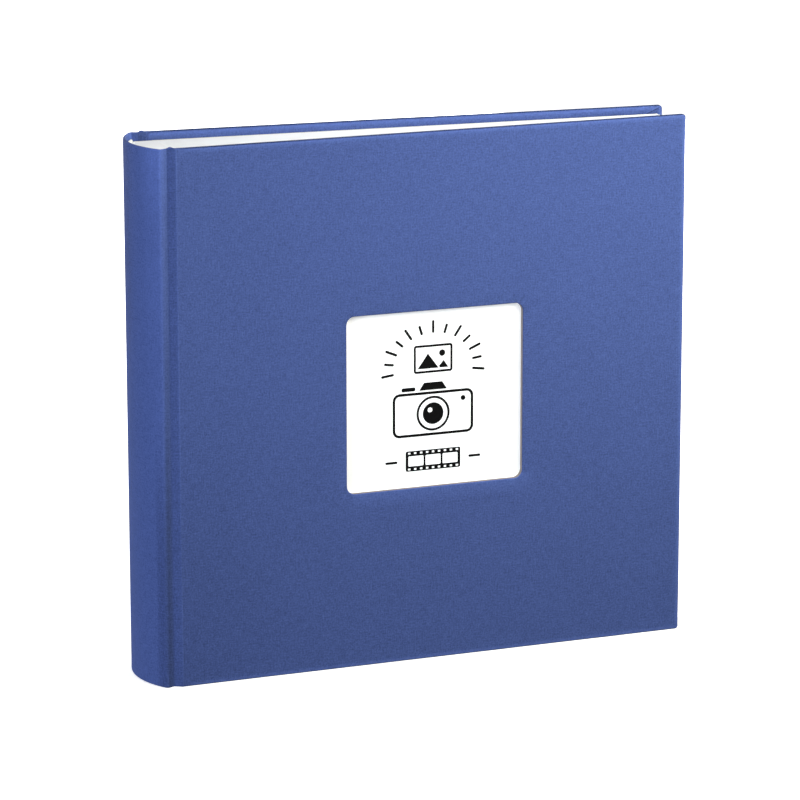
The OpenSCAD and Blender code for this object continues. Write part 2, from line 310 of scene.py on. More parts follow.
def cloth_material(name, base):
    """Book cloth: a fine plain weave with uneven threads and mottled colour, with painted light and shade from the rub
    attribute, and a painted shade line with a painted highlight at each corner's fold.
    """
    k = Mat(name)
    uv = k.n("ShaderNodeUVMap", uv_map="cloth").outputs[0]
    drift = k.n("ShaderNodeTexNoise")
    k.put(drift.inputs["Vector"], uv)
    drift.inputs["Scale"].default_value = 0.11
    drift.inputs["Detail"].default_value = 3.0
    moved = k.n("ShaderNodeVectorMath", operation="MULTIPLY_ADD")
    k.put(moved.inputs[0], drift.outputs["Color"])
    moved.inputs[1].default_value = (1.1, 1.1, 0.0)
    k.put(moved.inputs[2], uv)
    uvd = moved.outputs[0]
    sep = k.n("ShaderNodeSeparateXYZ")
    k.put(sep.inputs[0], uvd)
    warp = k.math("SINE", k.math("MULTIPLY", sep.outputs[0], 2 * math.pi / 0.50))
    weft = k.math("SINE", k.math("MULTIPLY", sep.outputs[1], 2 * math.pi / 0.54))
    weave = k.math("MULTIPLY_ADD", k.math("MULTIPLY", warp, weft), 0.5)
    weave.node.inputs[2].default_value = 0.5
    slub_u = k.noise(k.scale3(uvd, 1.6, 0.2), 1.0, 2.0)
    slub_v = k.noise(k.scale3(uvd, 0.2, 1.6), 1.0, 2.0)
    fine = k.noise(uvd, 0.95, 3.0, 0.6)
    broad = k.noise(uv, 0.03, 3.0, 0.55)
    patch = k.noise(uv, 0.22, 2.0, 0.5)
    f = k.total((0.10, weave), (0.44, slub_u), (0.40, slub_v), (0.98, fine), (0.10, broad), (0.22, patch))
    # painted light and shade, set per vertex, lifts or darkens the colour and is broken up by the fine noise
    rub = k.n("ShaderNodeAttribute", attribute_name="rub").outputs["Fac"]
    rubbed = k.math("MULTIPLY", rub, k.math("MULTIPLY_ADD", fine, 0.5))
    rubbed.node.inputs[1].links[0].from_node.inputs[2].default_value = 0.75
    f = k.math("ADD", f, rubbed)
    # the slanting fold of the cloth across each turned-in corner of a cover, drawn as a painted shade line with a
    # painted highlight beside it
    raw = k.n("ShaderNodeSeparateXYZ")
    k.put(raw.inputs[0], uv)
    deep = k.math("SUBTRACT", k.math("ABSOLUTE", k.math("SUBTRACT", raw.outputs[1], H / 2)), H / 2 + 2.656)
    along = k.math("SUBTRACT", BOARD_W, raw.outputs[0])
    off = k.math("SUBTRACT", k.math("SUBTRACT", deep, k.math("MULTIPLY", along, 0.46)), 0.5)
    fold_painted_shade = k.math("SUBTRACT", 1.0, k.math("MULTIPLY", k.math("ABSOLUTE", off), 1.9), clamp=True)
    fold_painted_highlight = k.math("SUBTRACT", 1.0, k.math("MULTIPLY", k.math("ABSOLUTE", k.math("ADD", off, 0.95)), 1.6), clamp=True)
    here = k.math("MULTIPLY", k.math("MULTIPLY", k.math("SUBTRACT", deep, 0.8, clamp=True), k.math("SUBTRACT", 27.0, along, clamp=True)), k.math("MULTIPLY", along, 2.0, clamp=True))
    f = k.math("ADD", f, k.math("MULTIPLY", here, k.math("SUBTRACT", k.math("MULTIPLY", fold_painted_highlight, 0.26), k.math("MULTIPLY", fold_painted_shade, 0.55))))
    k.put(k.b.inputs["Base Color"], k.tint(base, f))
    rough = k.math("MULTIPLY_ADD", fine, 0.12)
    rough.node.inputs[2].default_value = 0.78
    k.put(k.b.inputs["Roughness"], rough)
    k.b.inputs["Specular IOR Level"].default_value = 0.09
    k.b.inputs["Sheen Weight"].default_value = 0.015
    k.b.inputs["Sheen Roughness"].default_value = 0.45
    k.b.inputs["Sheen Tint"].default_value = (0.62, 0.72, 1.0, 1.0)
    h = k.math("ADD", k.math("MULTIPLY", weave, 0.5), k.math("ADD", k.math("MULTIPLY", slub_u, 0.9), k.math("MULTIPLY", slub_v, 0.9)))
    h = k.math("ADD", h, k.math("MULTIPLY", fine, 0.7))
    k.bump(h, 0.00013, 0.8)
    return k.m


def paper_material(name, base, coords=1.0, rough=0.88, bump=0.00003, speck=0.04, sheen=0.0):
    """Paper and card: fine fibres, a faint cloudiness and a soft surface."""
    k = Mat(name)
    pos = k.n("ShaderNodeTexCoord").outputs["Object"]
    fibre = k.noise(k.scale3(pos, 1400 * coords, 1400 * coords, 900 * coords), 1.0, 3.0, 0.6)
    cloud = k.noise(pos, 45 * coords, 3.0, 0.55)
    grain = k.noise(pos, 2600 * coords, 1.0, 0.5)
    f = k.total((speck, fibre), (speck * 0.8, cloud), (speck * 0.5, grain))
    k.put(k.b.inputs["Base Color"], k.tint(base, f))
    r = k.math("MULTIPLY_ADD", fibre, 0.1)
    r.node.inputs[2].default_value = rough - 0.05
    k.put(k.b.inputs["Roughness"], r)
    k.b.inputs["Specular IOR Level"].default_value = 0.25
    if sheen:
        k.b.inputs["Sheen Weight"].default_value = sheen
    k.bump(k.math("ADD", fibre, grain), bump, 0.7)
    return k.m


def board_material(name, base, speck=0.22):
    """Grey board: pressed waste paper in thin layers, with pale and dark fibres."""
    k = Mat(name)
    pos = k.n("ShaderNodeTexCoord").outputs["Object"]
    layers = k.noise(k.scale3(pos, 60, 3300, 60), 1.0, 3.0, 0.6)
    fibre = k.noise(k.scale3(pos, 700, 900, 700), 1.0, 4.0, 0.65)
    flecks = k.noise(pos, 1700, 2.0, 0.5)
    pale = k.math("GREATER_THAN", flecks, 0.66)
    f = k.total((speck, layers), (speck, fibre), (0.25, k.math("MULTIPLY_ADD", pale, 0.5)))
    k.put(k.b.inputs["Base Color"], k.tint(base, f))
    k.b.inputs["Roughness"].default_value = 0.93
    k.b.inputs["Specular IOR Level"].default_value = 0.2
    k.bump(k.math("ADD", layers, fibre), 0.00008, 0.8)
    return k.m


def gauze_material(name, base):
    """Open starched muslin that lines the back of the block."""
    k = Mat(name)
    pos = k.n("ShaderNodeTexCoord").outputs["Object"]
    sep = k.n("ShaderNodeSeparateXYZ")
    k.put(sep.inputs[0], pos)
    a = k.math("SINE", k.math("MULTIPLY", sep.outputs[1], 2 * math.pi / 0.0011))
    b = k.math("SINE", k.math("MULTIPLY", sep.outputs[2], 2 * math.pi / 0.0011))
    open_ = k.math("MAXIMUM", a, b)
    n1 = k.noise(pos, 500, 3.0)
    f = k.total((0.25, k.math("MULTIPLY_ADD", open_, 0.5)), (0.2, n1))
    k.put(k.b.inputs["Base Color"], k.tint(base, f))
    k.b.inputs["Roughness"].default_value = 0.95
    k.bump(open_, 0.0001, 0.8)
    return k.m


def glassine_material(name):
    """Glassine interleaf: smooth, cool white, with the embossed web of lines of album tissue."""
    k = Mat(name)
    uv = k.n("ShaderNodeUVMap", uv_map="cloth").outputs[0]
    web = k.n("ShaderNodeTexVoronoi", feature="DISTANCE_TO_EDGE")
    k.put(web.inputs["Vector"], uv)
    web.inputs["Scale"].default_value = 0.11
    line = k.math("SUBTRACT", 1.0, k.math("MULTIPLY", web.outputs["Distance"], 14.0, clamp=True), clamp=True)
    cloud = k.noise(uv, 0.05, 3.0)
    f = k.total((0.05, cloud), (0.08, line))
    k.put(k.b.inputs["Base Color"], k.tint(lin(236, 240, 240), f))
    r = k.math("MULTIPLY_ADD", line, 0.2)
    r.node.inputs[2].default_value = 0.34
    k.put(k.b.inputs["Roughness"], r)
    k.b.inputs["Specular IOR Level"].default_value = 0.45
    k.bump(k.math("ADD", line, k.math("MULTIPLY", cloud, 2.0)), 0.00006, 0.8)
    return k.m


def thread_material(name, base):
    k = Mat(name)
    pos = k.n("ShaderNodeTexCoord").outputs["Object"]
    n1 = k.noise(k.scale3(pos, 2500, 2500, 6000), 1.0, 3.0)
    n2 = k.noise(pos, 160, 2.0)
    k.put(k.b.inputs["Base Color"], k.tint(base, k.total((0.14, n1), (0.08, n2))))
    k.b.inputs["Roughness"].default_value = 0.6
    k.b.inputs["Sheen Weight"].default_value = 0.2
    k.bump(n1, 0.00006, 0.7)
    return k.m


def ink_material(name):
    k = Mat(name)
    pos = k.n("ShaderNodeTexCoord").outputs["Object"]
    n1 = k.noise(pos, 900, 3.0, 0.6)
    k.put(k.b.inputs["Base Color"], k.tint(lin(7, 7, 8), k.total((0.5, n1))))
    r = k.math("MULTIPLY_ADD", n1, 0.2)
    r.node.inputs[2].default_value = 0.5
    k.put(k.b.inputs["Roughness"], r)
    k.b.inputs["Specular IOR Level"].default_value = 0.12
    k.bump(n1, 0.00001, 0.5)
    return k.m


CLOTH = cloth_material("book_cloth_blue", lin(73, 91, 149))
PAPER = paper_material("page_card_white", lin(244, 246, 252))
STUB = paper_material("guard_card", lin(243, 244, 248))
ENDP = paper_material("endpaper_white", lin(245, 244, 240), speck=0.05)
BOARD = board_material("grey_board", lin(130, 122, 120))
SPINE_CARD = board_material("spine_card_manila", lin(200, 180, 140), speck=0.12)
LINING = paper_material("kraft_lining", lin(181, 154, 106), speck=0.2, bump=0.00006)
GAUZE = gauze_material("mull_gauze", lin(217, 212, 198))
BAND = thread_material("band_thread", lin(236, 236, 232))
GLASS = glassine_material("glassine")
PICTURE = paper_material("picture_card_white_glowing", lin(252, 252, 252), rough=0.7, speck=0.015, bump=0.00001)
POCKET = paper_material("pocket_card", lin(240, 239, 235), speck=0.05)
INK = ink_material("print_black")
# the picture card glows a little: painted light that whitens it where the window's walls shade it
for node_ in PICTURE.node_tree.nodes:
    if node_.type == "BSDF_PRINCIPLED":  # brightened photo card
        node_.inputs["Emission Color"].default_value = (0.88, 0.93, 1.0, 1)
        node_.inputs["Emission Strength"].default_value = 0.28

for node, m in (
    ("spine_card", SPINE_CARD), ("spine_gauze", GAUZE), ("spine_lining", LINING), ("guard_strips", STUB),
    ("front_board", BOARD), ("rear_board", BOARD), ("front_infill", POCKET), ("rear_infill", POCKET),
    ("pocket_spacer", POCKET), ("pocket_panel", POCKET),
):
    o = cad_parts[node]
    o.data.materials.clear()
    o.data.materials.append(m)


# ------------------------------------------------------------------ covers
def tail_painted_shade(u, z):
    """Painted shade: the cloth is a little darker towards the tail, most of all beside the joint."""
    return -(0.055 + 0.065 * (1 - smooth(u / 90.0))) * (1 - smooth((z - 20) / 190.0))


def cover_case(name, window, mirror):
    """The cloth round a cover board: outer face, rolled edges, mitred turn-ins; one closed skin."""
    s = Shape()
    r, rc, T = 0.75, CORNER_R + (0.4 if mirror else 0.0), D_PASTE
    mini = 0.45
    prof = [(6.0, 0.0, 0), (3.0, 0.0, 0), (1.4, 0.0, 0)]
    for i in range(7):
        a = math.radians(15 * i)
        prof.append((r - r * math.sin(a), r - r * math.cos(a), 0))
    for i in range(7):
        a = math.radians(15 * i)
        prof.append((r - r * math.cos(a), T - r + r * math.sin(a), 0))
    prof += [(1.5, T, 1), (2.6, T, 1), (4.5, T, 1), (8.0, T, 1), (TURN_IN - 0.4, T, 1), (TURN_IN, T - 0.12, 1), (TURN_IN, D_INFILL + 0.02, 2)]
    prof += [(8.0, D_INFILL + 0.02, 2), (CLOTH_T + 0.5, D_INFILL + 0.02, 2), (CLOTH_T, D_INFILL - 0.4, 2), (CLOTH_T, CLOTH_T + 0.4, 2), (CLOTH_T + 0.4, CLOTH_T, 2), (6.0, CLOTH_T, 2)]
    n1, n2, nc = 44, 44, 8
    fr = [(i / n1) for i in range(n1 + 1)]
    ids, uvs = [], []
    length = 0.0
    last = None
    for k, (d, v, kind) in enumerate(prof):
        if last is not None:
            length += math.hypot(d - last[0], v - last[1])
        else:
            length = r - 6.0
        last = (d, v)
        e = length if k > 2 else r - d
        rho = max(mini, rc - d)
        cu = BOARD_W - max(d + mini, rc)
        cz = H - max(d + mini, rc)
        line, uvl = [], []

        def put(u, z, nu, nz, s_edge, side, mid):
            fade = smooth(min(s_edge, 2 * BOARD_W + H - s_edge) / 12.0)
            g = smooth(1.2 - d / 5.0) * fade
            w = 0.07 * (0.5 + 0.5 * wave(s_edge, 1.0 + (3.0 if mirror else 0.0))) * g
            dv = 0.05 * wave(s_edge * 0.7, 5.0) * g * (1 if kind == 1 else 0)
            if kind == 1 and d > 1.0:
                step = smooth((d - 1.0) / 1.6)
                dv -= (0.16 * (1 - side) + 0.30 * mid) * step
            # painted light round the cover's edges: painted highlights on the rolled arris, painted shade on the edge
            # wall and its wrap, and on the rear cover's inner face a painted highlight under the edge with painted
            # light that falls off towards the fore-edge
            if k <= 4:
                tone = (0.0, 0.02, 0.26, 0.42, 0.24)[k]
            elif k <= 14 or (k <= 16 and not mirror):
                tone = -0.55 if 6 <= k <= 13 else -0.22
            elif mirror and kind < 2:
                tone = {15: 0.05, 16: 0.36, 17: 0.45, 18: 0.20}.get(k, 0.0) + (0.28 - 0.42 * u / 300.0) * smooth(d / 2.0)
            else:
                tone = 0.24 if k == 17 else 0.0
            # a painted highlight on the mitred corners of the turn-in
            if kind == 1 and mid > 0.0 and d > 1.0:
                tone += 0.10 * mid
            line.append(s.add(cov(u - nu * w, v + dv, z - nz * w), tone * (fade if k <= 16 else 1.0) + tail_painted_shade(u, z)))

        # along the head, round the corner, down the fore-edge, round the corner, along the tail
        for f in fr:
            u = SEAM_U + (cu - SEAM_U) * f
            put(u, cz + rho, 0, 1, u, 0.0, 0.0)
            uvl.append((u, H - r + e))
        R = (H - r + e) - cz
        for i in range(1, nc):
            a = math.radians(90 * i / nc)
            put(cu + rho * math.sin(a), cz + rho * math.cos(a), math.sin(a), math.cos(a), BOARD_W, i / nc, math.sin(2 * a))
            uvl.append((cu + R * math.sin(a), cz + R * math.cos(a)))
        zb = H - cz
        for f in fr:
            z = cz + (zb - cz) * f
            put(cu + rho, z, 1, 0, BOARD_W + H - z, 1.0, 0.0)
            uvl.append((BOARD_W - r + e, z))
        for i in range(1, nc):
            a = math.radians(90 * i / nc)
            put(cu + rho * math.cos(a), zb - rho * math.sin(a), math.cos(a), -math.sin(a), BOARD_W + H, 1 - i / nc, math.sin(2 * a))
            uvl.append((cu + R * math.cos(a), zb - R * math.sin(a)))
        for f in reversed(fr):
            u = SEAM_U + (cu - SEAM_U) * f
            put(u, zb - rho, 0, -1, BOARD_W + H + BOARD_W - u, 0.0, 0.0)
            uvl.append((u, r - e))
        ids.append(line)
        uvs.append(uvl)
    s.grid(ids, uvs)
    for j in (0, -1):
        s.face([l[j] for l in ids], [(prof[k][0], prof[k][1]) for k in range(len(prof))])
    # outer and inner skins of the face
    n_side = 40
    side_z = [6.0 + (H - 12.0) * i / n_side for i in range(1, n_side)]
    hole = (WIN_U, WIN_U + WIN_W, WIN_Z, WIN_Z + WIN_H)
    lines = []
    for k, depth, ring in ((0, 0.0, 0.55), (len(prof) - 1, CLOTH_T, 0.0)):
        # exact boundary: the swept ring, in the cover's own plane
        outline = []
        for i in ids[k]:
            x, y, z = s.v[i]
            outline.append((x * CT + (y + HALF) * ST, z))
        outline += [(SEAM_U, z) for z in side_z]
        loops = [rounded_rect(WIN_U - ring, WIN_Z - ring, WIN_W + 2 * ring, WIN_H + 2 * ring, WIN_R + ring)] if window else []
        extra = grid_points(SEAM_U, BOARD_W - 6, 6, H - 6, 12.0, hole if window else None)
        pts, tris = triangulate(outline, loops, extra)
        new = []
        for u, z in pts:
            edge = min(u - SEAM_U, BOARD_W - 6 - u, z - 6, H - 6 - z)
            if window:
                du = max(WIN_U - u, u - WIN_U - WIN_W, 0)
                dz = max(WIN_Z - z, z - WIN_Z - WIN_H, 0)
                edge = min(edge, math.hypot(du, dz) - 1)
            sink = 0.05 * (0.5 + 0.5 * wave(u * 0.5 + z * 0.23, 2.0)) * smooth(edge / 25.0)
            new.append(s.add(cov(u, depth + sink, z), tail_painted_shade(u, z)))
        for t in tris:
            c = (sum(pts[i][0] for i in t) / 3, sum(pts[i][1] for i in t) / 3)
            if window and inside(c, loops[0]):
                continue
            s.face([new[i] for i in t], [pts[i] for i in t])
        lines.append(depth)
    zs = [6.0, *side_z, H - 6.0]
    a = [s.add(cov(SEAM_U, 0.0, z), tail_painted_shade(SEAM_U, z)) for z in zs]
    b = [s.add(cov(SEAM_U, CLOTH_T, z), tail_painted_shade(SEAM_U, z)) for z in zs]
    s.grid([a, b], [[(SEAM_U, z) for z in zs]] * 2)
    if window:

        def rim_painted_light(u, z, depth):
            """Painted light along the sill, painted shade under the head and in the far upper corner."""
            k = min(1.0, depth / 0.1)
            if z < WIN_Z + 3:
                return 0.04 + 0.34 * (0.4 + 0.6 * k)
            top = smooth((z - WIN_Z - WIN_H + 7) / 5)
            return 0.03 - (0.34 * top + 0.22 * (u > WIN_U + WIN_W - 6)) * (0.3 + 0.7 * k)

        rings = []
        ruv = []
        for ring, depth in ((0.55, 0.0), (0.30, 0.035), (0.10, 0.11), (0.0, 0.22), (0.0, CLOTH_T)):
            loop = rounded_rect(WIN_U - ring, WIN_Z - ring, WIN_W + 2 * ring, WIN_H + 2 * ring, WIN_R + ring)
            rings.append([s.add(cov(u, depth, z), rim_painted_light(u, z, depth)) for u, z in loop])
            ruv.append([(u, z) for u, z in loop] + [loop[0]])
        s.grid(rings, ruv, closed=True)
    return make(name, s, [CLOTH], mirror=mirror)


front_case = cover_case("front_case_cloth", True, False)
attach(front_case, "front_cover")
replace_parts(front_case, "front_cover_cloth")
rear_case = cover_case("rear_case_cloth", False, True)
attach(rear_case, "rear_cover")
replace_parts(rear_case, "rear_cover_cloth")


# ------------------------------------------------------------------ spine and joints
def arc_pt(a, radius):
    return np.array((ARC_X - radius * math.cos(a), -radius * math.sin(a)))


def loop_of(O, Oi, T, Ti, zt, zb, s_len, wob=None):
    """The closed section of a strip of case cloth that is folded over at head and tail, and its UVs."""
    O, Oi, T, Ti = (np.array(q, float) for q in (O, Oi, T, Ti))
    D = np.linalg.norm(T - O)
    dv = (T - O) / D
    r = min(0.75, D * 0.47)
    zs = [zb + r + (zt - zb - 2 * r) * i / 14 for i in range(15)]
    pts, vv = [], []

    def add(p, z, v):
        pts.append((p[0], p[1], z))
        vv.append((s_len, v))

    for z in zs:
        add(O if wob is None else O + np.array(wob(z)), z, z)
    for i in range(1, 7):
        a = math.radians(15 * i)
        add(O + dv * r * (1 - math.cos(a)), zt - r + r * math.sin(a), zt - r + r * a)
    base = zt - r + r * math.pi / 2 + (D - 2 * r)
    for i in range(7):
        a = math.radians(15 * i)
        add(T - dv * r * (1 - math.sin(a)), zt - r + r * math.cos(a), base + r * a)
    base += r * math.pi / 2
    add(T, zt - TURN_IN * 0.5, base + TURN_IN * 0.5 - r)
    add(T, zt - TURN_IN, base + TURN_IN - r)
    add(Ti, zt - TURN_IN, base + TURN_IN)
    add(Ti, zt - CLOTH_T, base)
    add(Oi, zt - CLOTH_T, base)
    for z in (zt - 12, zt - 80, (zt + zb) / 2, zb + 80, zb + 12):
        add(Oi, z, z)
    add(Oi, zb + CLOTH_T, zb)
    add(Ti, zb + CLOTH_T, zb)
    add(Ti, zb + TURN_IN, zb)
    add(T, zb + TURN_IN, zb - TURN_IN)
    add(T, zb + TURN_IN * 0.5, zb - TURN_IN * 0.5)
    base = zb + r - r * math.pi / 2 - (D - 2 * r)
    for i in range(6, -1, -1):
        a = math.radians(15 * i)
        add(T - dv * r * (1 - math.sin(a)), zb + r - r * math.cos(a), base - r * a)
    for i in range(6, 0, -1):
        a = math.radians(15 * i)
        add(O + dv * r * (1 - math.cos(a)), zb + r - r * math.sin(a), zb + r - r * a)
    return pts, vv + [vv[0]]


def strip_piece(name, stations, mirror=False):
    s = Shape()
    ids, uvs = [], []
    n = min(len(st["loop"][0]) for st in stations)
    for st in stations:
        pts, vv = st["loop"]
        assert len(pts) == n, (name, len(pts), n)
        ids.append([s.add(p, st["rub"](p[2]) if callable(st["rub"]) else st["rub"]) for p in pts])
        uvs.append(vv)
    s.grid(ids, uvs, closed=True)
    for k in (0, -1):
        s.face(ids[k], uvs[k][:-1])
    return make(name, s, [CLOTH], mirror=mirror)


def fillet(points, radii, seg=8):
    """A polyline with its inner corners rounded."""
    out = [np.array(points[0], float)]
    for i in range(1, len(points) - 1):
        p, a, b = (np.array(points[j], float) for j in (i, i - 1, i + 1))
        da, db = (a - p) / np.linalg.norm(a - p), (b - p) / np.linalg.norm(b - p)
        half = math.acos(max(-1, min(1, float(da @ db)))) / 2
        rr = radii[i - 1]
        tl = rr / math.tan(half)
        bis = (da + db) / np.linalg.norm(da + db)
        c = p + bis * (rr / math.sin(half))
        s0, s1 = p + da * tl - c, p + db * tl - c
        ang = math.acos(max(-1, min(1, float(s0 @ s1) / rr / rr)))
        for k in range(seg + 1):
            t = k / seg
            w = (math.sin((1 - t) * ang) * s0 + math.sin(t * ang) * s1) / math.sin(ang)
            out.append(c + w)
    out.append(np.array(points[-1], float))
    return out


def resample_ends(pts, near=0.12):
    """Adds a point close to each end, so that the shading meets the neighbouring piece's."""
    p0, p1, q1, q0 = pts[0], pts[1], pts[-2], pts[-1]
    a = p0 + (p1 - p0) / np.linalg.norm(p1 - p0) * near
    b = q0 + (q1 - q0) / np.linalg.norm(q1 - q0) * near
    return [p0, a, *pts[1:-1], b, q0]


def depth_pt(x, v):
    return np.array((x, -HALF + v))


SEAM_A = SHOULDER - math.radians(5.0)
VALLEY = depth_pt(-4.75, 2.62)
BANK_TOP = depth_pt(-8.35, 0.30)
# the ridge, where the spine's curve meets the near bank of the groove
A1 = SHOULDER - math.radians(3.0)
tan1 = np.array((math.sin(A1), -math.cos(A1)))
p1 = arc_pt(A1, ARC_R)
bank = BANK_TOP - VALLEY
m = np.array([[tan1[0], -bank[0]], [tan1[1], -bank[1]]])
k1 = np.linalg.solve(m, BANK_TOP - p1)
RIDGE = p1 + tan1 * k1[0]
BOARD_EDGE = np.array(cov(-0.15, -0.02)[:2])
FACE_PT = np.array(cov(SEAM_U, 0.0)[:2])
line_pts = fillet([p1, RIDGE, VALLEY, BOARD_EDGE, FACE_PT], [2.2, 1.1, 0.6], 8)
arc_part = [arc_pt(SEAM_A + (A1 - SEAM_A) * i / 6, ARC_R) for i in range(6)]
full = arc_part + line_pts
# the lowest point of the groove is where the two joint pieces meet
vi = max(range(len(full)), key=lambda i: full[i][1] if full[i][0] < -2 and full[i][0] > -7 else -99)


def densify(pts, step=0.6):
    out = [pts[0]]
    for a, b in zip(pts, pts[1:]):
        L = np.linalg.norm(b - a)
        n = max(1, int(round(L / step)))
        for i in range(1, n + 1):
            out.append(a + (b - a) * i / n)
    return out


left = densify(resample_ends(full[: vi + 1]))
right = densify(resample_ends(full[vi:]))


def normals(pts):
    """Inward normals along the groove's line."""
    out = []
    for i in range(len(pts)):
        t = pts[min(i + 1, len(pts) - 1)] - pts[max(i - 1, 0)]
        t = t / np.linalg.norm(t)
        out.append(np.array((-t[1], t[0])))
    return out


def lengths(pts, end_at=None):
    acc = [0.0]
    for a, b in zip(pts, pts[1:]):
        acc.append(acc[-1] + float(np.linalg.norm(b - a)))
    return acc if end_at is None else [q - acc[-1] + end_at for q in acc]


right_s = lengths(right, SEAM_U)
left_s = lengths(left, right_s[0])
T_VALLEY = full[vi] + np.array((0.0, 0.73))
T_FACE = np.array(cov(SEAM_U, D_PASTE)[:2])
T_SEAM = arc_pt(SEAM_A, CARD_RI - CLOTH_T)
T_CARD = arc_pt(SHOULDER - math.radians(1.5), CARD_RI - CLOTH_T)


def head_bump(x):
    return 0.85 * math.exp(-(((x + 2.7) / 1.35) ** 2))


def shoulder_painted_light(rel, z):
    """Painted light along the shoulder of the spine: a painted highlight at the head, painted shade at the tail."""
    pale = (0.26 * smooth((z - 262) / 45) + 0.08 * smooth((z - 170) / 80)) * smooth((rel - 0.45) / 0.5)
    shade = -0.20 * smooth((rel - 0.87) / 0.1) * (1 - smooth((z - 80) / 90))
    return pale + shade


def joint_stations(pts, ss, side):
    ns = normals(pts)
    tot = ss[-1] - ss[0]
    out = []
    for i, (p, n, q) in enumerate(zip(pts, ns, ss)):
        f = (q - ss[0]) / tot
        if side == "right":
            T = T_VALLEY + (T_FACE - T_VALLEY) * smooth(f) * 0.5 + (T_FACE - T_VALLEY) * f * 0.5
            # painted light on the board side of the groove: a painted highlight along the board's edge, painted shade
            # on the bank, a lightened valley, and the tail's painted shade
            edge = 0.26 * math.exp(-(((p[0] - 0.1) / 0.36) ** 2)) * smooth((SEAM_U - p[0]) / 0.6)
            bank_painted_shade = -0.12 * smooth((-0.3 - p[0]) / 0.8) * smooth((p[0] + 5.2) / 1.0)
            pale = 0.20 * smooth((-3.2 - p[0]) / 1.2)
            rub = lambda z, e=edge, b=bank_painted_shade, w=pale: e * (0.6 + 0.4 * wave(z * 0.6, 8.0)) + b * smooth((z - 20) / 200) + w * (0.45 - 0.25 * smooth((z - 120) / 150)) + tail_painted_shade(0.0, z)
        else:
            f1 = 0.38
            T = T_SEAM + (T_CARD - T_SEAM) * (f / f1) if f < f1 else T_CARD + (T_VALLEY - T_CARD) * ((f - f1) / (1 - f1))
            # painted light on the spine side of the groove: painted highlights on the bank, along its fold lines and on
            # the ridge, painted shade low down, a lightened valley, and the shoulder's painted light
            fold_highlights = 0.17 * smooth((-7.6 - p[0]) / 2.4) + 0.08 * math.exp(-(((p[0] + 9.2) / 0.3) ** 2)) + 0.10 * math.exp(-(((p[0] + 7.2) / 0.3) ** 2))
            ridge = 0.10 * smooth((p[0] + 10.6) / 1.8) * smooth((-6.0 - p[0]) / 1.0)
            low = -0.08 * smooth((p[0] + 8.8) / 1.2) * smooth((-6.2 - p[0]) / 1.0)
            pale = 0.20 * smooth((p[0] + 6.4) / 1.2)
            rub = lambda z, q=fold_highlights, g=ridge, w=low, h=pale: q * smooth((z - 40) / 130) + g * smooth((z - 120) / 150) + w * (1 - smooth((z - 120) / 150)) + h * (0.5 - 0.3 * smooth((z - 120) / 150)) + shoulder_painted_light(1.0, z)
        n_t = np.array((0.0, -1.0))
        if np.linalg.norm(T - p) < 0.72:
            T = p + (T - p) / np.linalg.norm(T - p) * 0.73
        d = (p - T) / np.linalg.norm(p - T)
        zt = H + head_bump(p[0])
        out.append({"loop": loop_of(p, p + n * CLOTH_T, T, T + d * CLOTH_T, zt, 0.0, q), "rub": rub})
    return out


for side, mir in (("front", False), ("rear", True)):
    lo = strip_piece(side + "_joint_bank_spine", joint_stations(left, left_s, "left"), mir)
    ro = strip_piece(side + "_joint_bank_board", joint_stations(right, right_s, "right"), mir)
    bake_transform(lo)
    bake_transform(ro)
    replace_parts(lo, side + "_joint_cloth")

# the spine itself, from seam to seam
angles = [-SEAM_A, -SEAM_A + 0.12 / ARC_R]
steps = 64
angles += [-SEAM_A + 2 * SEAM_A * i / steps for i in range(1, steps)]
angles += [SEAM_A - 0.12 / ARC_R, SEAM_A]
stations = []
for a in angles:
    o = arc_pt(-a, ARC_R)
    i_ = arc_pt(-a, ARC_R - CLOTH_T)
    T = arc_pt(-a, CARD_RI - CLOTH_T)
    Ti = arc_pt(-a, CARD_RI)
    q = left_s[0] - (SEAM_A - (-a)) * ARC_R
    rel = a / SEAM_A
    # painted light across the spine: brighter towards both shoulders above the tail, the shoulder's painted light, and
    # painted shade over part of the back in its upper half
    back = 0.20 * smooth((rel + 0.42) / 0.5)
    rub = lambda z, r=rel, b=back: 0.04 + 0.13 * r * r * smooth((z - 60) / 120) + shoulder_painted_light(abs(r), z) - b * smooth((z - 120) / 160)
    stations.append({"loop": loop_of(o, i_, T, Ti, H, 0.0, q), "rub": rub})
spine = strip_piece("spine_case_cloth", stations)
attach(spine, "binding")
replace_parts(spine, "spine_cloth")


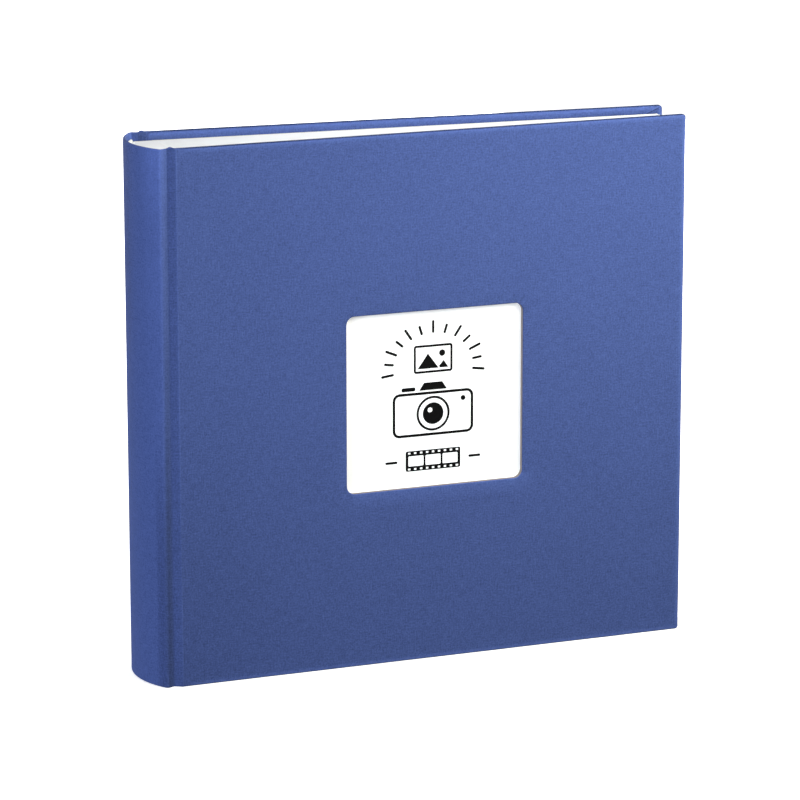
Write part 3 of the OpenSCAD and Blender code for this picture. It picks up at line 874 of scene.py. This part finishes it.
# ------------------------------------------------------------------ head and tail bands
def band_piece(name, at_head):
    """A woven band: a bead wrapped with thread over the edge of the block, on its tape."""
    s = Shape()
    zc = (H - SQUARE + BAND_R) if at_head else (SQUARE - BAND_R)
    half = math.radians(31)
    rings, nr = 620, 14
    ids, uvs = [], []
    for i in range(rings + 1):
        a = -half + 2 * half * i / rings
        L = (a + half) * BLOCK_R
        ph = L / 0.72
        thread = abs(math.sin(math.pi * ph))
        rr = BAND_R * (0.86 + 0.13 * thread) + 0.01 * math.sin(ph * 7.0)
        line, uvl = [], []
        for j in range(nr):
            b = 2 * math.pi * j / nr
            rad = BLOCK_R - 0.5 + rr * math.cos(b)
            p = arc_pt(-a, rad)
            line.append(s.add((p[0], p[1], zc + rr * math.sin(b))))
            uvl.append((L, rr * b))
        uvl.append((L, rr * 2 * math.pi))
        ids.append(line)
        uvs.append(uvl)
    s.grid(ids, uvs, closed=True)
    s.face(ids[0], uvs[0][:-1])
    s.face(ids[-1], uvs[-1][:-1])
    # tape behind the block
    t0, t1 = (H - SQUARE - 13, H - SQUARE + BAND_R) if at_head else (SQUARE - BAND_R, SQUARE + 13)
    ids, uvs = [], []
    n = 60
    for i in range(n + 1):
        a = -half + 2 * half * i / n
        p, q = arc_pt(-a, BAND_RO), arc_pt(-a, BAND_RO - 0.22)
        ids.append([s.add((p[0], p[1], t0)), s.add((p[0], p[1], t1)), s.add((q[0], q[1], t1)), s.add((q[0], q[1], t0))])
        L = (a + half) * BLOCK_R
        uvs.append([(L, t0), (L, t1), (L, t1), (L, t0), (L, t0)])
    s.grid(ids, uvs, closed=True)
    s.face(ids[0], uvs[0][:-1])
    s.face(ids[-1], uvs[-1][:-1])
    o = make(name, s, [BAND], angle=60)
    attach(o, "binding")
    return o


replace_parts(band_piece("head_band_woven", True), "head_band")
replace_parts(band_piece("tail_band_woven", False), "tail_band")


# ------------------------------------------------------------------ pages
def leaf_yc(n):
    return -Y_CREASE + (n - 0.5) * 2 * Y_CREASE / LEAVES


def leaf_yf(n):
    return -Y_FORE + (n - 0.5) * 2 * Y_FORE / LEAVES


def back_x(y):
    return ARC_X + 0.05 - math.sqrt(BLOCK_R * BLOCK_R - y * y)


def ripple(x, z):
    """The shared, very slight wave of the whole block of pages."""
    return 0.16 * math.sin(z * 0.021 + 0.6) * smooth((x - 30) / 200.0) * math.sin(x * 0.013 + 0.3)


GUTTER = [5.5, 6.2, 6.9, 7.6, 8.3, 9.0, 9.5, 10.2, 10.9, 11.6, 12.3, 13.0, 13.7, 14.4, 15.2, 16.2]


def add_sheet(s, line, t, z0, z1, flip, tag):
    """A closed sheet along line, a list of (x, y); flip mirrors it to the rear side."""
    zs = [z0 + (z1 - z0) * j / 8 for j in range(9)]
    front, back, uvs = [], [], []
    for x, y in line:
        f, b, u = [], [], []
        for z in zs:
            dy = ripple(x, z)
            yy = -y if flip else y
            f.append(s.add((x, yy + dy - t / 2, z)))
            b.append(s.add((x, yy + dy + t / 2, z)))
            u.append((x + tag * 37.0, z))
        front.append(f)
        back.append(b)
        uvs.append(u)
    s.grid(front, uvs)
    s.grid(back, uvs)
    for e in (0, -1):
        s.grid([front[e], back[e]], [uvs[e], uvs[e]])
        s.grid([[r[e] for r in front], [r[e] for r in back]], [[q[e] for q in uvs]] * 2)


def jitter(n, k, amount):
    return amount * math.sin(n * 12.9898 * (k + 1) + 4.1 * k)


def leaf_line(n, x_end, x_start=None):
    yc, yf = leaf_yc(n), leaf_yf(n)
    xs = [back_x(abs(yc) + LEAF_T / 2) + 0.05 if x_start is None else x_start]
    xs += [x for x in GUTTER if x > xs[0] + 0.2]
    xs += [24, 40, 70, 110, 150, 190, 230, 270, x_end]
    return [(x, yc if x <= X_LEAF else yc + (yf - yc) * (x - X_LEAF) / (X_FORE - X_LEAF)) for x in xs]


def leaf_piece(name, n, flip, node, extra=()):
    s = Shape()
    tag = n + (60 if flip else 0)
    add_sheet(s, leaf_line(n, X_FORE - 0.25 + jitter(tag, 1, 0.22)), LEAF_T, SQUARE + 0.15 + jitter(tag, 2, 0.13), H - SQUARE - 0.15 + jitter(tag, 3, 0.13), flip, tag)
    o = make(name, s, [PAPER], angle=30)
    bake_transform(o)
    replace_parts(o, node, *extra)


def glass_piece(name, n, flip, node):
    s = Shape()
    tag = n + (60 if flip else 0)
    add_sheet(s, leaf_line(n + 0.5, X_FORE - 2.2 + jitter(tag, 4, 0.3), 5.7), GLASS_T, SQUARE + 1.6 + jitter(tag, 5, 0.2), H - SQUARE - 1.7 + jitter(tag, 6, 0.2), flip, tag)
    o = make(name, s, [GLASS], angle=30)
    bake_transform(o)
    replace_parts(o, node)


for k in range(1, TURNING + 1):
    for side, flip in (("", False), ("rear_", True)):
        num = f"{k:02d}"
        leaf_piece(f"{side}leaf_{num}_sheet", k, flip, f"{side}leaf_{num}", ("leaf_stubs",) if k == 1 else ())
        glass_piece(f"{side}interleaf_{num}_sheet", k, flip, f"{side}interleaf_{num}")

s = Shape()
for n in range(TURNING + 1, LEAVES - TURNING + 1):
    add_sheet(s, leaf_line(n, X_FORE - 0.25 + jitter(n, 1, 0.22)), LEAF_T, SQUARE + 0.15 + jitter(n, 2, 0.13), H - SQUARE - 0.15 + jitter(n, 3, 0.13), False, n)
o = make("centre_leaf_sheets", s, [PAPER], angle=30)
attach(o, "binding")
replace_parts(o, "centre_leaves")
s = Shape()
for n in range(TURNING + 1, LEAVES - TURNING):
    add_sheet(s, leaf_line(n + 0.5, X_FORE - 2.2 + jitter(n, 4, 0.3), 5.7), GLASS_T, SQUARE + 1.6 + jitter(n, 5, 0.2), H - SQUARE - 1.7 + jitter(n, 6, 0.2), False, n)
o = make("centre_interleaf_sheets", s, [GLASS], angle=30)
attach(o, "binding")
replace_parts(o, "centre_interleaves")


# ------------------------------------------------------------------ endpapers
def ribbon(name, line, t, z0, z1, mat, mirror, thick_dir=None):
    """A closed strip of paper along a line of points in the plan."""
    s = Shape()
    pts = [np.array(p, float) for p in line]
    ns = normals(pts)
    q = lengths(pts)
    zs = [z0 + (z1 - z0) * j / 6 for j in range(7)]
    a = [[s.add((*(p - n * t / 2), z)) for z in zs] for p, n in zip(pts, ns)]
    b = [[s.add((*(p + n * t / 2), z)) for z in zs] for p, n in zip(pts, ns)]
    uv = [[(l, z) for z in zs] for l in q]
    s.grid(a, uv)
    s.grid(b, uv)
    for e in (0, -1):
        s.grid([a[e], b[e]], [uv[e], uv[e]])
        s.grid([[r[e] for r in a], [r[e] for r in b]], [[w[e] for w in uv]] * 2)
    return make(name, s, [mat], angle=50, mirror=mirror)


FOLD = np.array((back_x(abs(leaf_yc(1))) + 1.0, leaf_yc(1) - LEAF_T / 2 - 0.42))
for side, mir in (("front", False), ("rear", True)):
    yfly = lambda x: -HALF + x * math.tan(TILT) + (D_FLY + END_T / 2) / CT
    xs = [FOLD[0], FOLD[0] + 0.6, 0.0, 2.0, 3.0, 4.0, 5.0, *GUTTER[1:], 24, 40, 70, 110, 150, 190, 230, 270, X_FORE - 0.2]
    line = []
    for x in xs:
        w = smooth((x - 2.0) / (X_LEAF - 2.0))
        line.append((x, FOLD[1] * (1 - w) + yfly(max(x, 2.0)) * w))
    s = Shape()
    add_sheet(s, line, END_T, SQUARE + 0.1, H - SQUARE - 0.1, mir, 99)
    o = make(side + "_flyleaf_sheet", s, [ENDP], angle=30)
    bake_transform(o)
    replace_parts(o, side + "_flyleaf")
    # the half that crosses the joint: from the fold at the block, under the groove, to the pastedown
    jt = T_VALLEY + np.array((0.0, 0.12))
    pd = np.array(cov(3.62, D_PASTE + END_T / 2)[:2])
    near = fillet([FOLD + np.array((0.0, -0.16)), FOLD + np.array((0.3, -1.35)), jt + np.array((-1.3, 0.0)), jt], [0.5, 0.8], 6)
    o = ribbon(side + "_endpaper_fold", densify(near, 0.5), END_T, SQUARE + 0.1, H - SQUARE - 0.1, ENDP, mir)
    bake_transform(o)
    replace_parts(o, side + "_joint_paper")
    far = fillet([jt, jt + np.array((1.2, 0.0)), np.array(cov(1.2, D_PASTE + END_T / 2 + 0.04)[:2]), pd], [2.0, 2.0], 6)
    o = ribbon(side + "_endpaper_joint", densify(far, 0.5), END_T, SQUARE + 0.1, H - SQUARE - 0.1, ENDP, mir)
    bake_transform(o)


def pastedown(name, window, mirror):
    """The endpaper's half that is glued to the board; the turned-in cloth shows through as a faint step."""
    s = Shape()
    u0, u1, z0, z1 = 3.6, X_FORE / CT, SQUARE, H - SQUARE
    stepd = [TURN_IN - 0.9, TURN_IN - 0.2, TURN_IN + 0.5]
    us = sorted({u0, u0 + 4, *[BOARD_W - d for d in stepd], *[u0 + (u1 - u0) * i / 24 for i in range(25)]})
    zs = sorted({z0, z1, *stepd, *[H - d for d in stepd], *[z0 + (z1 - z0) * i / 24 for i in range(25)]})
    sheets = []
    for layer, depth in ((0, D_POCKET), (1, D_PASTE + 0.005)):
        outline = [(u, z0) for u in us] + [(u1, z) for z in zs[1:]] + [(u, z1) for u in reversed(us[:-1])] + [(u0, z) for z in reversed(zs[1:-1])]
        loops = [rounded_rect(WIN_U, WIN_Z, WIN_W, WIN_H, WIN_R)] if window else []
        extra = []
        for u in us[1:-1]:
            for z in zs[1:-1]:
                if window and WIN_U - 1.5 < u < WIN_U + WIN_W + 1.5 and WIN_Z - 1.5 < z < WIN_Z + WIN_H + 1.5:
                    continue
                extra.append((u, z))
        pts, tris = triangulate(outline, loops, extra)
        new = []
        for u, z in pts:
            d = min(BOARD_W - u, z, H - z)
            sink = 0.0
            if layer == 0:
                sink = 0.07 * smooth((d - (TURN_IN - 0.9)) / 1.4)
                sink += 0.015 * (0.5 + 0.5 * wave(u * 0.8 + z * 0.5, 3.0))
            new.append(s.add(cov(u, depth - sink, z)))
        for t in tris:
            c = (sum(pts[i][0] for i in t) / 3, sum(pts[i][1] for i in t) / 3)
            if window and inside(c, loops[0]):
                continue
            s.face([new[i] for i in t], [pts[i] for i in t])
        lookup = {}
        for i, p in zip(new, pts):
            lookup[(round(p[0], 3), round(p[1], 3))] = i
        sheets.append((lookup, outline, loops))
    (la, outline, loops), (lb, _, _) = sheets
    for loop in [outline, *loops]:
        a = [la[(round(p[0], 3), round(p[1], 3))] for p in loop]
        b = [lb[(round(p[0], 3), round(p[1], 3))] for p in loop]
        uv = [*loop, loop[0]]
        s.grid([a, b], [uv, uv], closed=True)
    o = make(name, s, [ENDP], angle=35, mirror=mirror)
    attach(o, "rear_cover" if mirror else "front_cover")
    return o


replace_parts(pastedown("front_pastedown_sheet", True, False), "front_pastedown")
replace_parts(pastedown("rear_pastedown_sheet", False, True), "rear_pastedown")


# ------------------------------------------------------------------ picture card
def disc(cx, cz, r, n=48):
    return [(cx + r * math.cos(2 * math.pi * i / n), cz + r * math.sin(2 * math.pi * i / n)) for i in range(n)]


def bar(x0, z0, x1, z1, w):
    """A straight stroke with round ends."""
    a = math.atan2(z1 - z0, x1 - x0)
    pts = []
    for i in range(9):
        t = a - math.pi / 2 + math.pi * i / 8
        pts.append((x1 + w / 2 * math.cos(t), z1 + w / 2 * math.sin(t)))
    for i in range(9):
        t = a + math.pi / 2 + math.pi * i / 8
        pts.append((x0 + w / 2 * math.cos(t), z0 + w / 2 * math.sin(t)))
    return pts


def frame_of(u0, z0, w, h, r, t):
    return [rounded_rect(u0, z0, w, h, r, 6), rounded_rect(u0 + t, z0 + t, w - 2 * t, h - 2 * t, max(r - t, 0.3), 6)]


def artwork():
    """A plain pictogram of a camera, even ticks and a strip of film: closed outlines, each with its holes."""
    cx = WIN_U + WIN_W / 2
    shapes = []
    # camera
    cz = WIN_Z + 42.5
    shapes.append(frame_of(cx - 25, cz - 13, 50, 26, 4.2, 1.6))
    shapes.append([disc(cx, cz, 10.3), disc(cx, cz, 8.9)])
    shapes.append([disc(cx, cz, 6.4), disc(cx - 1.9, cz + 2.1, 1.45, 24)])
    shapes.append([disc(cx + 18.6, cz + 7.6, 1.5, 28)])
    shapes.append([rounded_rect(cx - 19.5, cz + 13.9, 8.5, 2.3, 0.8, 4)])
    shapes.append([[(cx - 8.6, cz + 13.9), (cx + 8.6, cz + 13.9), (cx + 5.6, cz + 18.4), (cx - 5.6, cz + 18.4)]])
    # a little framed view
    fz = WIN_Z + 66.5
    shapes.append(frame_of(cx - 12, fz, 24, 16.5, 1.6, 1.35))
    shapes.append([disc(cx + 5.6, fz + 11.2, 1.9, 28)])
    shapes.append([[(cx - 9.6, fz + 2.6), (cx + 3.4, fz + 2.6), (cx - 3.2, fz + 11.4)]])
    shapes.append([[(cx + 4.3, fz + 2.6), (cx + 9.4, fz + 2.6), (cx + 6.5, fz + 6.9), (cx + 3.6, fz + 3.6)]])
    # ticks, on an ellipse round the framed view
    for i in range(13):
        a = math.radians(-8 + 196 * i / 12)
        g = 1.0 if i % 2 == 0 else 0.72
        dx, dz = math.cos(a), math.sin(a)
        tz = fz + 3.4
        shapes.append([bar(cx + 25.2 * dx, tz + 20.6 * dz, cx + (25.2 + 6.4 * g) * dx, tz + (20.6 + 6.0 * g) * dz, 1.5)])
    # a strip of film between two dashes
    bz = WIN_Z + 15.2
    film = [rounded_rect(cx - 17, bz - 6, 34, 12, 1.0, 4)]
    for i in range(3):
        film.append(rounded_rect(cx - 15.3 + 10.6 * i, bz - 3.0, 9.4, 6.0, 0.6, 4))
    for i in range(9):
        for zz in (4.15, -5.25):
            film.append(rounded_rect(cx - 15.5 + 3.7 * i, bz + zz, 1.5, 1.1, 0.2, 2))
    shapes.append(film)
    for sg in (-1, 1):
        shapes.append([bar(cx + sg * 22.8, bz, cx + sg * 28.8, bz, 1.5)])
    return shapes


def card_piece():
    s = Shape()
    u0, u1 = WIN_U - 5.5, WIN_U + WIN_W + 5.5
    z0, z1 = pc_lo[2], pc_hi[2]
    v0, v1 = D_POCKET + 0.1, D_POCKET + 0.4
    outline = rounded_rect(u0 + 0.02, z0, u1 - u0 - 0.04, z1 - z0, 1.2, 6)
    shapes = artwork()
    loops = [l for sh in shapes for l in sh]
    pts, tris = triangulate(outline, loops, [])
    new = [s.add(cov(u, v0, z)) for u, z in pts]
    for t in tris:
        c = (sum(pts[i][0] for i in t) / 3, sum(pts[i][1] for i in t) / 3)
        if not inside(c, outline):
            continue
        ink = any(inside(c, sh[0]) and not any(inside(c, h) for h in sh[1:]) for sh in shapes)
        s.face([new[i] for i in t], [pts[i] for i in t], 1 if ink else 0)
    a = [s.add(cov(u, v0, z)) for u, z in outline]
    b = [s.add(cov(u, v1, z)) for u, z in outline]
    uv = [*outline, outline[0]]
    s.grid([a, b], [uv, uv], closed=True)
    s.face(b, outline)
    o = make("picture_card_print", s, [PICTURE, INK], angle=35)
    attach(o, "picture")
    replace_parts(o, "picture_card")
    return o


card_piece()

# ------------------------------------------------------------------ stage, light and camera
bpy.ops.mesh.primitive_plane_add(size=40, location=(0, 0, 0))
floor = bpy.context.object
floor.name = "floor"
fm = bpy.data.materials.new("floor_white")
fm.use_nodes = True
ft = fm.node_tree
fb = ft.nodes["Principled BSDF"]
fb.inputs["Base Color"].default_value = (0.94, 0.94, 0.94, 1)
fb.inputs["Roughness"].default_value = 0.9
fb.inputs["Specular IOR Level"].default_value = 0.1
# the sweep glows more with distance, so that it runs out to plain white
f_pos = ft.nodes.new("ShaderNodeTexCoord")
f_len = ft.nodes.new("ShaderNodeVectorMath")
f_len.operation = "LENGTH"
f_map = ft.nodes.new("ShaderNodeMapRange")
f_map.inputs["From Min"].default_value = 0.22
f_map.inputs["From Max"].default_value = 0.60
f_map.inputs["To Min"].default_value = 0.62
f_map.inputs["To Max"].default_value = 1.02
ft.links.new(f_pos.outputs["Object"], f_len.inputs[0])
ft.links.new(f_len.outputs["Value"], f_map.inputs["Value"])
fb.inputs["Emission Color"].default_value = (1, 1, 1, 1)
ft.links.new(f_map.outputs["Result"], fb.inputs["Emission Strength"])
floor.data.materials.append(fm)
floor.visible_diffuse = False
floor.visible_glossy = False

world = bpy.data.worlds.new("studio")
bpy.context.scene.world = world
world.use_nodes = True
wt = world.node_tree
wt.nodes.clear()
w_out = wt.nodes.new("ShaderNodeOutputWorld")
w_mix = wt.nodes.new("ShaderNodeMixShader")
w_amb = wt.nodes.new("ShaderNodeBackground")
w_cam = wt.nodes.new("ShaderNodeBackground")
w_path = wt.nodes.new("ShaderNodeLightPath")
w_amb.inputs[0].default_value = (0.97, 0.98, 1.0, 1)
w_amb.inputs[1].default_value = 0.11
w_cam.inputs[0].default_value = (1, 1, 1, 1)
w_cam.inputs[1].default_value = 1.05
wt.links.new(w_path.outputs["Is Camera Ray"], w_mix.inputs[0])
wt.links.new(w_amb.outputs[0], w_mix.inputs[1])
wt.links.new(w_cam.outputs[0], w_mix.inputs[2])
wt.links.new(w_mix.outputs[0], w_out.inputs[0])


def area(name, loc, target, size, power, colour=(1, 1, 1)):
    data = bpy.data.lights.new(name, "AREA")
    data.shape = "RECTANGLE"
    data.size, data.size_y = size
    data.energy = power
    data.color = colour
    o = bpy.data.objects.new(name, data)
    o.location = loc
    o.rotation_mode = "QUATERNION"
    o.rotation_quaternion = (Vector(target) - Vector(loc)).to_track_quat("-Z", "Y")
    o.visible_camera = False
    bpy.context.scene.collection.objects.link(o)
    return o


area("key_softbox", (0.294, -0.420, 0.550), (0.0, 0.0, 0.15), (0.55, 0.50), 5.5, (1.0, 0.99, 0.88))
area("fill_left", (-1.78, -0.92, 0.15), (0.0, 0.0, 0.15), (1.0, 0.8), 36.5, (0.93, 1.0, 1.12))
area("top_light", (-0.05, 0.45, 1.30), (0.0, 0.0, 0.3), (0.8, 0.8), 4.2, (0.93, 0.97, 1.0))
# light from behind, for the far side; it does not reach the front cover or the spine
area("back_right", (1.0, 1.5, 0.45), (0.0, 0.0, 0.15), (0.9, 0.9), 22.0)
area("fill_right", (1.9, 0.25, 0.25), (0.0, 0.0, 0.15), (0.9, 0.7), 20.0, (0.98, 0.99, 1.0))
area("back_left", (-0.5, 1.7, 0.40), (0.0, 0.0, 0.15), (0.9, 0.9), 15.0)

cam_data = bpy.data.cameras.new("camera")
cam = bpy.data.objects.new("camera", cam_data)
bpy.context.scene.collection.objects.link(cam)
az, el, roll, dist = math.radians(-19.45), math.radians(13.44), math.radians(-0.05), 2.373
back = Vector((math.sin(az) * math.cos(el), -math.cos(az) * math.cos(el), math.sin(el)))
cam.location = Vector(row((141.85, 0.0, 149.32))) + back * dist
cam.rotation_mode = "QUATERNION"
cam.rotation_quaternion = (-back).to_track_quat("-Z", "Y") @ Quaternion((0, 0, 1), roll)
cam_data.lens = 184.70
cam_data.sensor_width = 36.0
cam_data.clip_start, cam_data.clip_end = 0.05, 100.0
bpy.context.scene.camera = cam
bpy.context.scene.view_settings.view_transform = "Standard"
bpy.context.scene.view_settings.look = "None"
